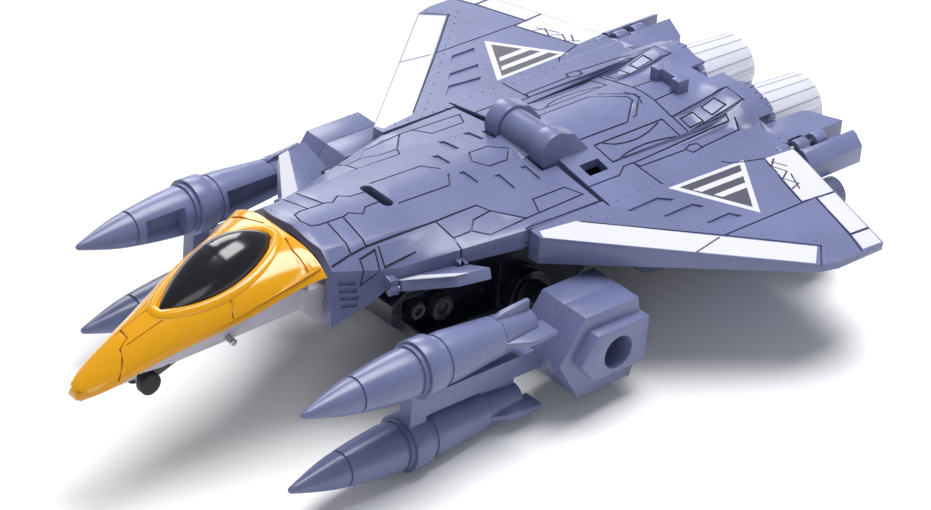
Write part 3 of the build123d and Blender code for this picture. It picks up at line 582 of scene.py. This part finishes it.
arm_inside, arm_front, arm_back = 15.5, -7.2, 6.0
tip_x, wing_back = 42.8, 38.6
wing_outline = [
    (arm_inside, arm_front),
    (17.55, arm_front),
    (42.0, 22.0),
    (tip_x, 25.0),
    (tip_x, 33.4),
    (20.9, wing_back),
    (root_half, wing_back),
    (root_half, arm_back),
    (arm_inside, arm_back),
]
for name, side in (("left", 1), ("right", -1)):
    paints = [(shape, 2) for shape in for_side(white_parts, side)]
    paints += [(for_side([delta], side)[0], 2), (for_side([delta_inside], side)[0], 3)]
    paints += [(shape, 2) for shape in for_side(delta_bars, side)]
    wing_skin = relief(
        wing_surface,
        for_side([wing_outline], side)[0],
        lines_to_strips(for_side(wing_line, side), line_width),
        for_side(wing_well, side),
        paints=paints,
        pitch=4.0,
    )
    # the skin's materials: plastic, the painted shade for the groove floors, white paint and print
    wing_finish = (blue, blue_groove_painted_shade, white_paint, navy_print)
    shell(f"wing_{name}_skin", wing_skin, "airframe", None, *wing_finish)

# rivets beside the front fuselage, along the leading edge and round the tip, then along the root
rivet_radius = 0.2
edge_rivets = (
    (16.4, -4.2), (16.2, -2.0), (15.9, 0.3), (15.9, 2.5), (15.7, 4.7), (17.4, 2.2), (18.7, 3.9),
    (20.5, 6.0), (22.8, 8.5), (25.1, 11.3), (27.3, 13.7), (29.2, 15.9), (31.0, 17.8), (32.7, 19.9),
    (34.4, 21.9), (36.0, 23.8), (37.6, 25.5), (38.6, 26.8), (40.3, 25.1), (42.0, 23.4),
)
root_rivets = (
    (15.8, 6.6), (16.3, 8.0), (16.3, 10.0), (16.3, 12.1), (16.3, 14.1), (15.7, 17.3), (15.7, 19.3),
    (15.7, 21.3), (15.7, 23.4), (15.8, 25.4), (15.9, 27.4), (18.0, 32.5), (18.1, 34.5),
)


def rivets(graph, given):
    """A low dome at every point of the cloud."""
    dome = graph.node("GeometryNodeMeshUVSphere", Segments=12, Rings=8, Radius=given["Radius"])
    return graph.node(
        "GeometryNodeInstanceOnPoints", Points=given["Points"], Instance=dome, Scale=given["Flatten"]
    )


left_rivets, right_rivets = both([edge_rivets + root_rivets])
heads = []
for x, y in left_rivets + right_rivets:
    on_wing = abs(x) > root_half or y < arm_back
    face, out = wing_surface(x, y) if on_wing else rear_surface(x, y)
    heads.append(face + out * skin_rise)
flatten = (1.0, 1.0, 0.55)
repeated("rivet_heads", rivets, "airframe", blue, heads, Radius=rivet_radius, Flatten=flatten)

# ---- Tail booms and fins ----
# A short wedge-shaped boom closes each wing root. A moulded fin folds on a steel pin held in the
# boom's lug, and lies flat beside the boom here.
mould(blue, "tail_boom_left", "tail_boom_right", "tail_fin_left", "tail_fin_right")
mould(steel, "fin_pin_left", "fin_pin_right")

# ---- Engine nozzles ----
# Two tapered nozzles in pale pearl plastic are pressed into the humps. Fine ribs run along them.
pearl = moulded("pale pearl plastic", (0.62, 0.63, 0.72), 0.3, coat=0.15, flow=0.03)
mould(pearl, "nozzle_left", "nozzle_right")
rib_count, rib_middle = 18, 48.0
for name, side in (("left", 1), ("right", -1)):
    repeated(
        f"nozzle_{name}_ribs",
        teeth,
        "airframe",
        pearl,
        Count=rib_count,
        Start=0.0,
        Step=math.tau / rib_count,
        Radius=4.62,
        Size=(0.34, 11.4, 0.42),
        Lean=0.058,
        Shortest=1.0,
        Seed=1,
        Middle=(side * engine_x, rib_middle, engine_z),
        slot="pearl_plastic",
    )

# ---- Legs ----
# The legs lie folded flat under the rear deck: a moulded box, its cover and a jet barrel, each on a
# steel hip pin. Three slanting white bars are printed on the outer side of each.
slate = moulded("darker slate plastic", (0.085, 0.098, 0.175), 0.42)
mould(slate, "leg_left", "leg_right", "leg_jet_left", "leg_jet_right")
mould(blue, "leg_cover_left", "leg_cover_right")
mould(steel, "hip_pin_left", "hip_pin_right")
bar_foot, bar_top = -12.4, -9.8
leg_bars = [
    [(y, bar_foot), (y + 1.0, bar_foot), (y + 2.0, bar_top), (y + 1.0, bar_top)]
    for y in (17.2, 19.2, 21.2)
]
leg_face = 18.2
print_rise = 0.06
for name, side in (("left", 1), ("right", -1)):

    def leg_side(y, z):
        return Vector((side * leg_face, side * y, z)), Vector((side, 0, 0))

    for number, bar in enumerate(leg_bars):
        printed = relief(leg_side, for_side([bar], side)[0], rise=print_rise)
        piece = f"leg_{name}_bar_{number}"
        shell(piece, printed, f"leg_{name}", None, white_paint, slot="slate_plastic")

# ---- Belly and shoulders ----
# A dark glossy plastic frame under the fuselage carries the shoulder axles on which the pods turn.
# Blackened bolts sit in the recesses of its sides.
mould(navy, "belly_frame", "shoulder_axle_left", "shoulder_axle_right")
bolt_steel = moulded("blackened screw steel", (0.05, 0.05, 0.06), 0.25, coat=0.3)
mould(bolt_steel, "belly_bolts")

# ---- Front fuselage ----
# The front half of the body is a low moulded arch with upright cheeks over a dark screwed frame. It
# folds on the spine hinge. Its top is covered in moulded panel lines.
mould(blue, "front_shell")
mould(navy, "front_frame")
mould(steel, "frame_screws", "nose_hinge_pin")
# each station's y, the crest's height, then x and z of the shoulder, of the edge and of the side's foot
front_stations = (
    (-36.0, 3.2, 6.0, 2.4, 8.4, 0.3, 8.9, -8.2),
    (-30.0, 3.0, 6.8, 2.1, 10.0, -0.7, 10.3, -5.33),
    (-26.5, 2.8, 7.2, 2.0, 10.9, -1.1, 11.1, -2.6),
    (-6.0, 2.2, 8.5, 1.1, 15.2, 0.2, 15.2, -2.6),
    (5.8, 2.0, 8.0, 1.0, 15.2, 0.1, 15.2, -2.6),
)
front_ahead, front_behind = front_stations[0][0], front_stations[-1][0]


def front_station(y):
    """Crest, shoulder, edge and foot of the front fuselage at y."""
    y = min(max(y, front_ahead), front_behind)
    for near, far in zip(front_stations, front_stations[1:]):
        if y <= far[0]:
            share = (y - near[0]) / (far[0] - near[0])
            return [a + (b - a) * share for a, b in zip(near, far)][1:]


def front_point(t, y):
    """t runs from the spine outwards over the shoulder and then down the side."""
    crest, shoulder_x, shoulder_z, edge_x, edge_z, low_x, low_z = front_station(y)
    a = abs(t)
    if a < shoulder_x:
        x, z = a, shoulder_z + (crest - shoulder_z) * (1 - (a / shoulder_x) ** 1.6)
    elif a < edge_x:
        x = a
        z = shoulder_z + (edge_z - shoulder_z) * (a - shoulder_x) / (edge_x - shoulder_x)
    else:
        down = a - edge_x
        x = edge_x + (low_x - edge_x) * min(down / (edge_z - low_z), 1.0)
        z = edge_z - down
    return Vector((math.copysign(x, t), y, z))


def front_surface(t, y):
    """A point of the front fuselage and its outward direction."""
    step = 0.03
    across = front_point(t + step, y) - front_point(t - step, y)
    along = front_point(t, min(y + step, front_behind)) - front_point(t, max(y - step, front_ahead))
    return front_point(t, y), across.cross(along).normalized()


def front_edge(y, drop):
    """How far round the arch its edge is at y, plus a share of the side's height below it."""
    _, _, _, edge_x, edge_z, _, low_z = front_station(y)
    return edge_x + drop * (edge_z - low_z)


front_line = (
    [
        (0, -34.7), (1.6, -34.2), (2.0, -33.1), (2.0, -28.7), (1.6, -27.7), (2.7, -26.0), (1.6, -24.7),
        (1.5, -22.4),
    ],
    [(2.2, -31.7), (7.7, -32.2)],
    [(2.0, -29.0), (7.6, -29.6)],
    [
        (8.0, -35.6), (7.7, -32.4), (7.6, -29.6), (8.1, -17.9), (8.0, -10.5), (9.6, -9.5), (13.3, -6.0),
        (12.9, 4.7), (10.5, 3.4), (10.5, -2.4), (13.3, -3.7),
    ],
    [(9.7, -9.4), (10.0, -12.7), (11.4, -14.2), (13.2, -12.3), (13.3, -6.0)],
    [(8.1, -17.9), (11.2, -17.2), (14.9, -17.3)],
    [(11.2, -17.2), (11.4, -14.2)],
    [(8.2, -27.9), (10.3, -28.4), (10.5, -23.3)],
    [(3.0, -20.0), (3.0, -11.0), (0.9, -9.4)],
)
front_loop = ([(8.5, -31.3), (8.3, -28.6), (10.3, -29.3), (11.6, -31.9)],)
spine_hexagon = [(-2.1, -3.0), (-2.1, 0.2), (0, 2.4), (2.1, 0.2), (2.1, -3.0), (0, -4.4)]
front_well = (
    [(1.3, -7.9), (1.3, -7.0), (4.2, -6.8), (4.6, -7.7)],
    [(4.1, -3.9), (4.1, -3.0), (7.4, -2.9), (7.8, -3.8)],
    [(4.3, 0.7), (4.3, 1.7), (7.4, 1.7), (7.8, 0.8)],
    [(9.9, -35.2), (10.6, -35.1), (11.3, -32.7), (10.6, -32.6)],
    [(11.1, -35.0), (11.8, -34.9), (12.5, -32.4), (11.8, -32.3)],
    [(12.3, -34.8), (13.0, -34.7), (13.7, -32.2), (13.0, -32.1)],
    [(13.5, -34.6), (14.2, -34.5), (14.7, -32.4), (14.1, -32.3)],
)
# the skin goes down the cheeks ahead of the wings' arms and stays above them beside the arms
side_drop = ((-36.0, 0.98), (-30.0, 0.98), (-26.5, 0.96), (-7.8, 0.96), (-7.5, -0.06), (5.7, -0.06))
front_outline = [(front_edge(y, drop), y) for y, drop in side_drop]
front_outline += [(-t, y) for t, y in reversed(front_outline)]
fold_room = [(-6.3, 3.0), (6.3, 3.0), (6.3, 6.0), (-6.3, 6.0)]
slot_y, slot_reach, slot_end, slot_half = -21.4, 2.05, 0.95, 0.9
spine_slot = [
    (end * slot_reach + slot_end * math.cos(a), slot_y + slot_half * math.sin(a))
    for end, turn in ((1, 0), (-1, math.pi))
    for a in [turn - math.pi / 2 + math.pi * k / 8 for k in range(9)]
]
front_creases = []
for side in (1, -1):
    front_creases.append([(side * s[2], s[0]) for s in front_stations])
    front_creases.append([(side * s[4], s[0]) for s in front_stations])
front_lines = lines_to_strips(both(front_line), line_width)
front_lines += loops_to_strips(both(front_loop), line_width)
front_lines += loops_to_strips([spine_hexagon], line_width)
front_skin = relief(
    front_surface,
    front_outline,
    front_lines,
    both(front_well),
    holes=[fold_room, spine_slot],
    creases=front_creases,
    pitch=1.0,
)
shell("front_skin", front_skin, "front", None, blue, blue_groove_painted_shade)

# ---- Canards ----
# Two small moulded foreplanes hinge on steel pins under the cheeks, by a lug at each end of the root.
# Their leading edges are printed white.
mould(steel, "canard_pin_left", "canard_pin_right")
canard_front, canard_rear = Vector((11.95, -28.8, -3.3)), Vector((14.3, -17.2, -3.3))
canard_chord = (canard_rear - canard_front).length
canard_lean = math.radians(25)
canard_reach = 5.4 / math.cos(canard_lean)
canard_rise, canard_thickness = 1.15, 1.5
lug = 1.6
canard_outline = [
    (-0.5, lug),
    (0.9, lug),
    (canard_reach + 0.4, 0.6 * canard_chord),
    (canard_reach + 0.4, canard_chord + 0.3),
    (1.3, canard_chord),
    (1.3, canard_chord - lug),
    (-0.5, canard_chord - lug),
]
white_edge = [
    (0.6, 1.3),
    (canard_reach + 0.5, 0.57 * canard_chord),
    (canard_reach + 0.5, 0.74 * canard_chord),
    (0.6, 4.6),
]
canard_print_rise = 0.05
for name, side in (("left", 1), ("right", -1)):
    back = (canard_rear - canard_front).normalized()
    level_out = Vector((back.y, -back.x, 0))
    slope_out = level_out * math.cos(canard_lean) + Vector((0, 0, math.sin(canard_lean)))
    upward = slope_out.cross(back)
    face_out = Vector((side * upward.x, upward.y, upward.z))

    def canard_top(u, v):
        place = canard_front + slope_out * (side * u) + back * v + upward * canard_rise
        return Vector((side * place.x, place.y, place.z)), face_out

    plate = relief(canard_top, for_side([canard_outline], side)[0], rise=0.0)
    whole = bmesh.ops.extrude_face_region(plate, geom=plate.faces[:])
    underside = [v for v in whole["geom"] if isinstance(v, bmesh.types.BMVert)]
    down = deck_to_world.to_3x3() @ face_out * -canard_thickness
    bmesh.ops.translate(plate, verts=underside, vec=down)
    bmesh.ops.recalc_face_normals(plate, faces=plate.faces)
    merge_flat(plate)
    ease_edges(plate)
    shell(f"canard_{name}_plate", plate, f"canard_{name}", f"canard_{name}", blue)
    printed = relief(canard_top, for_side([white_edge], side)[0], rise=canard_print_rise)
    shell(f"canard_{name}_print", printed, f"canard_{name}", None, white_paint)

# ---- Nose ----
# The nose folds on a steel pin: a glossy yellow painted top shell over a light grey keel, with a
# smooth dark canopy set in a raised rim. The top has a few fine panel lines.
yellow = moulded("glossy yellow paint", (0.70, 0.32, 0.0), 0.18, coat=0.3, grain=0.05, flow=0.02)
# a darker yellow painted into the floors of the nose's lines as the shade that falls in the grooves
yellow_groove_painted_shade = moulded("yellow paint in the lines", (0.30, 0.10, 0.001), 0.4)
canopy_tint = moulded(
    "dark canopy plastic", (0.006, 0.006, 0.012), 0.2, coat=0.3, wear=0.0, grain=0.05, flow=0.0
)
mould(yellow, "nose_top")
mould(moulded("light grey plastic", (0.44, 0.43, 0.50), 0.36), "nose_keel")
nose_back, nose_tip = -37.8, -71.2
arch_back, arch_fall, arch_half = 1.05, 11.5, math.radians(88)
layout_half = 10
cast_height = 20
nose_mesh = frame["nodes"]["nose_top"].data
nose_corners = [v.co for v in nose_mesh.vertices]
nose_cast = BVHTree.FromPolygons(nose_corners, [f.vertices for f in nose_mesh.polygons])
to_deck = deck_to_world.inverted()


def along_nose(y):
    """0 at the nose's hinge end, 1 at its tip."""
    return (y - nose_back) / (nose_tip - nose_back)


def arch_axis(y):
    """Height of the axis that the nose's arch turns round."""
    return arch_back - arch_fall * along_nose(y)


def nose_surface(t, y):
    """t runs round the nose's arch, from -10 at one lower edge over the crest to 10 at the other."""
    middle = Vector((0, y, arch_axis(y)))
    angle = t / layout_half * arch_half
    out = Vector((math.sin(angle), 0, math.cos(angle)))
    begin = deck_to_world @ (middle + out * cast_height)
    hit, normal, _, _ = nose_cast.ray_cast(begin, (deck_to_world @ middle - begin).normalized())
    if hit is None:
        return middle + out, out
    return to_deck @ hit, (to_deck.to_3x3() @ normal).normalized()


canopy_front, canopy_rear, canopy_half = -57.8, -39.7, 4.3
canopy_sink, canopy_rise = 1.05, 3.1


def canopy_width(s):
    """The canopy's width along its length as a share of its widest part."""
    return math.sin(math.pi * min(max(s, 0.0), 1.0) ** 1.15) ** 0.6


def crest_height(y):
    """Height of the nose's crest line."""
    share = along_nose(y)
    return 3.3 - 12.6 * share + 8.8 * share * (1 - share)


def lofted(rows, closed=False):
    """A bmesh skinned over rows of deck points, closed round each row if asked."""
    work = bmesh.new()
    grid = [[work.verts.new(deck_to_world @ Vector(p)) for p in row] for row in rows]
    for near, far in zip(grid, grid[1:]):
        count = len(near)
        for k in range(count if closed else count - 1):
            quad = (near[k], near[(k + 1) % count], far[(k + 1) % count], far[k])
            work.faces.new(quad)
    for row in (grid[0], grid[-1]):
        work.faces.new(row)
    bmesh.ops.recalc_face_normals(work, faces=work.faces)
    return work


# the dome is a row of arches, with a fine raised band across its middle
dome_steps, arch_steps = 60, 24
band_half, band_height = 0.02, 1.015
dome = []
for step in range(dome_steps + 1):
    s = step / dome_steps
    y = canopy_front + (canopy_rear - canopy_front) * s
    width = max(canopy_half * canopy_width(s), 0.05)
    band = band_height if abs(s - 0.5) < band_half else 1.0
    rise = canopy_sink + canopy_rise * canopy_width(s) ** 1.3 * band
    sill = crest_height(y) - canopy_sink
    arch = [math.pi * (k / arch_steps - 0.5) for k in range(arch_steps + 1)]
    dome.append([(width * math.sin(a), y, sill + rise * math.cos(a)) for a in arch])
shell("canopy_dome", lofted(dome), "nose", "canopy", canopy_tint)

# the rim's path lies on the nose, found by looking straight down on it; its layout is the skin's hole
rim_steps, rim_sides = 96, 12
rim_ahead, rim_longer = 0.5, 0.9
rim_margin, rim_half, rim_lift, rim_height = 0.55, 0.75, 0.12, 0.42
crest_fall = 0.42
straight_down = deck_to_world.to_3x3() @ Vector((0, 0, -1000))
rim_path, canopy_room = [], []
for step in range(rim_steps):
    turn = math.tau * step / rim_steps
    s = 0.5 + 0.5 * math.cos(turn)
    y = canopy_front - rim_ahead + (canopy_rear - canopy_front + rim_longer) * s
    half = math.copysign(canopy_half * canopy_width(s) + rim_margin, math.sin(turn))
    x = half * min(6 * abs(math.sin(turn)), 1.0)
    hit, normal, _, _ = nose_cast.ray_cast(deck_to_world @ Vector((x, y, cast_height)), straight_down)
    face = to_deck @ hit
    out = (to_deck.to_3x3() @ normal).normalized()
    height = max(face.z, crest_height(y) - crest_fall * abs(x))
    rim_path.append((Vector((face.x, face.y, height)), out))
    angle = math.atan2(face.x, face.z - arch_axis(y))
    canopy_room.append((angle / arch_half * layout_half, y))
rim = []
for number, (face, out) in enumerate(rim_path):
    ahead = (rim_path[(number + 1) % rim_steps][0] - rim_path[number - 1][0]).normalized()
    across = ahead.cross(out).normalized()
    ring = []
    for k in range(rim_sides):
        a = math.tau * k / rim_sides
        lift = rim_lift + rim_height * math.sin(a)
        ring.append(face + across * rim_half * math.cos(a) + out * lift)
    rim.append(ring)
rim.append(rim[0])
shell("canopy_rim", lofted(rim, closed=True), "nose", None, yellow, slot="yellow_gloss")

nose_line = (
    [(-3.6, -62.4), (0.8, -62.9), (1.8, -64.3), (5.0, -64.9), (9.3, -66.2)],
    [(-3.4, -63.2), (-2.2, -58.6)],
    [(2.4, -63.4), (3.1, -58.4)],
    [(6.6, -50.0), (9.3, -50.6)],
    [(-6.6, -50.0), (-9.3, -50.6)],
    [(4.8, -38.9), (7.2, -39.6), (9.4, -39.6)],
    [(-4.8, -38.9), (-7.2, -39.6), (-9.4, -39.6)],
)
nose_outline = [
    (-9.7, -38.0), (9.7, -38.0), (9.7, -69.6), (4.0, -70.8), (-4.0, -70.8), (-9.7, -69.6),
]
nose_line_width, nose_skin_rise = 0.24, 0.26
nose_skin = relief(
    nose_surface,
    nose_outline,
    lines_to_strips(nose_line, nose_line_width),
    holes=[canopy_room],
    pitch=0.55,
    rise=nose_skin_rise,
)
shell("nose_skin", nose_skin, "nose", None, yellow, yellow_groove_painted_shade, slot="yellow_gloss")

# ---- Nose gear ----
# A small dark strut with two rubber wheels swings out of the bay in the keel on a steel pin.
mould(navy, "gear_leg")
mould(moulded("black rubber", (0.012, 0.012, 0.013), 0.6), "gear_wheels")
mould(steel, "gear_pin")

# ---- Pods ----
# Each missile pod is a hexagonal box moulded in two halves, with a raised pad and a round port on
# its outer face, and turns on the shoulder axle.
mould(blue, "pod_inner_left", "pod_inner_right")
for name in ("left", "right"):
    half = eased(f"pod_outer_{name}", merge=False)
    shell(f"pod_outer_{name}_moulding", half, f"pod_{name}", f"pod_outer_{name}", blue)

# ---- Missile racks ----
# A moulded bar with two clamp rings holds the pod's two missiles. It is pushed into the front of
# the pod and made of the same blue grey plastic.
mould(blue, "missile_rack_left", "missile_rack_right")

# ---- Missiles ----
# Each missile is one moulding with a pointed cone, turned grooves, fins at its tail and an open
# inner side where the mould's core has left two long pockets.
tip_y, tail_y, missile_r, ring_front, ring_rear = -53.2, -14.5, 3.55, -34.6, -31.8


def swelling(y, radius, run, gain, power, steps):
    """Profile points that gain radius along a run from y, less and less towards its end."""
    shares = [(k / steps, run * k / steps) for k in range(1, steps + 1)]
    return [(y + ahead, radius + gain * (1 - (1 - share) ** power)) for share, ahead in shares]


# y and radius from the tip to the tail, with four grooves turned into it
missile_profile = [(tip_y, 0.0), (tip_y + 0.05, 0.22), (tip_y + 0.25, 0.42)]
missile_profile += swelling(tip_y + 0.25, 0.42, 8.1, 2.06, 1.25, 10)
missile_profile += [(-44.8, 2.49), (-44.75, 2.28), (-44.45, 2.30), (-44.4, 2.57)]
missile_profile += swelling(-44.4, 2.57, 8.5, 0.9, 1.4, 8)
missile_profile += [(-35.85, 3.47), (-35.8, 3.2), (-35.3, 3.2), (-35.25, missile_r)]
missile_profile += [(ring_rear + 0.9, missile_r), (ring_rear + 0.95, 3.35)]
missile_profile += [(ring_rear + 1.25, 3.35), (ring_rear + 1.3, missile_r)]
missile_profile += [(ring_rear + 3.0, missile_r), (-22.0, 2.95)]
missile_profile += [(-20.9, 2.85), (-20.85, 2.7), (-20.5, 2.7), (-20.45, 2.8)]
missile_profile += [(tail_y - 0.2, 2.25), (tail_y, 2.05), (tail_y, 0.0)]
pocket_runs = ((tip_y + 10.0, ring_front - 2.4), (ring_rear + 2.0, tail_y - 2.5))
pocket_half, pocket_floor = math.radians(38), 1.2


def missile_radius(y, angle, radius):
    """The profile's radius, cut back where the inner side (angle 0) is pocketed."""
    inside = any(a < y < b for a, b in pocket_runs) and abs(angle) < pocket_half
    return min(radius, pocket_floor / max(math.cos(angle), 0.3)) if inside else radius


def profile_radius(y):
    """The profile's radius between two of its points."""
    near = max((p for p in missile_profile if p[0] <= y), key=lambda p: p[0])
    far = min((p for p in missile_profile if p[0] > y), key=lambda p: p[0])
    return near[1] + (far[1] - near[1]) * (y - near[0]) / (far[0] - near[0])


# two stations close together at each end of a pocket give it an upright wall
pocket_ends = [y + d for run in pocket_runs for y in run for d in (-0.01, 0.03)]
stations = missile_profile + [(y, profile_radius(y)) for y in pocket_ends]
stations.sort(key=lambda p: p[0])
missile_sides, seam_turn, point_radius = 72, 0.003, 0.02

# each fin's direction from the missile's axis, its outline as y and distance, and half its thickness
fin_shapes = (
    (Vector((1, 0)), [(-21.0, 1.2), (-21.0, 2.7), (-17.6, 4.35), (-13.0, 4.35), (-13.0, 1.0)], 0.42),
    (Vector((0, 1)), [(-21.0, 1.2), (-21.0, 2.9), (-19.8, 3.5), (-14.9, 3.9), (-14.9, 1.0)], 0.38),
)
for name, side in (("left", 1), ("right", -1)):
    for level, x, z in (("upper", 24.2, -6.9), ("lower", 22.6, -19.5)):
        rows = []
        for y, radius in stations:
            row = []
            for k in range(missile_sides):
                angle = math.tau * k / missile_sides - math.pi + seam_turn
                r = max(missile_radius(y, angle, radius), point_radius)
                row.append((side * (x - r * math.cos(angle)), y, z + r * math.sin(angle)))
            rows.append(row)
        work = lofted(rows, closed=True)
        for toward, outline, half in fin_shapes:
            faces = []
            for offset in (-half, half):
                face = []
                for y, r in outline:
                    reach_x = toward.x * r + toward.y * offset
                    reach_z = toward.y * r + toward.x * offset
                    face.append((side * (x + reach_x), y, z + reach_z))
                faces.append(face)
            fin = lofted(faces, closed=True)
            ease_edges(fin)
            held = bpy.data.meshes.new("fin")
            fin.to_mesh(held)
            fin.free()
            work.from_mesh(held)
            bpy.data.meshes.remove(held)
        shell(f"missile_{level}_{name}_body", work, f"pod_{name}", f"missile_{level}_{name}", blue)
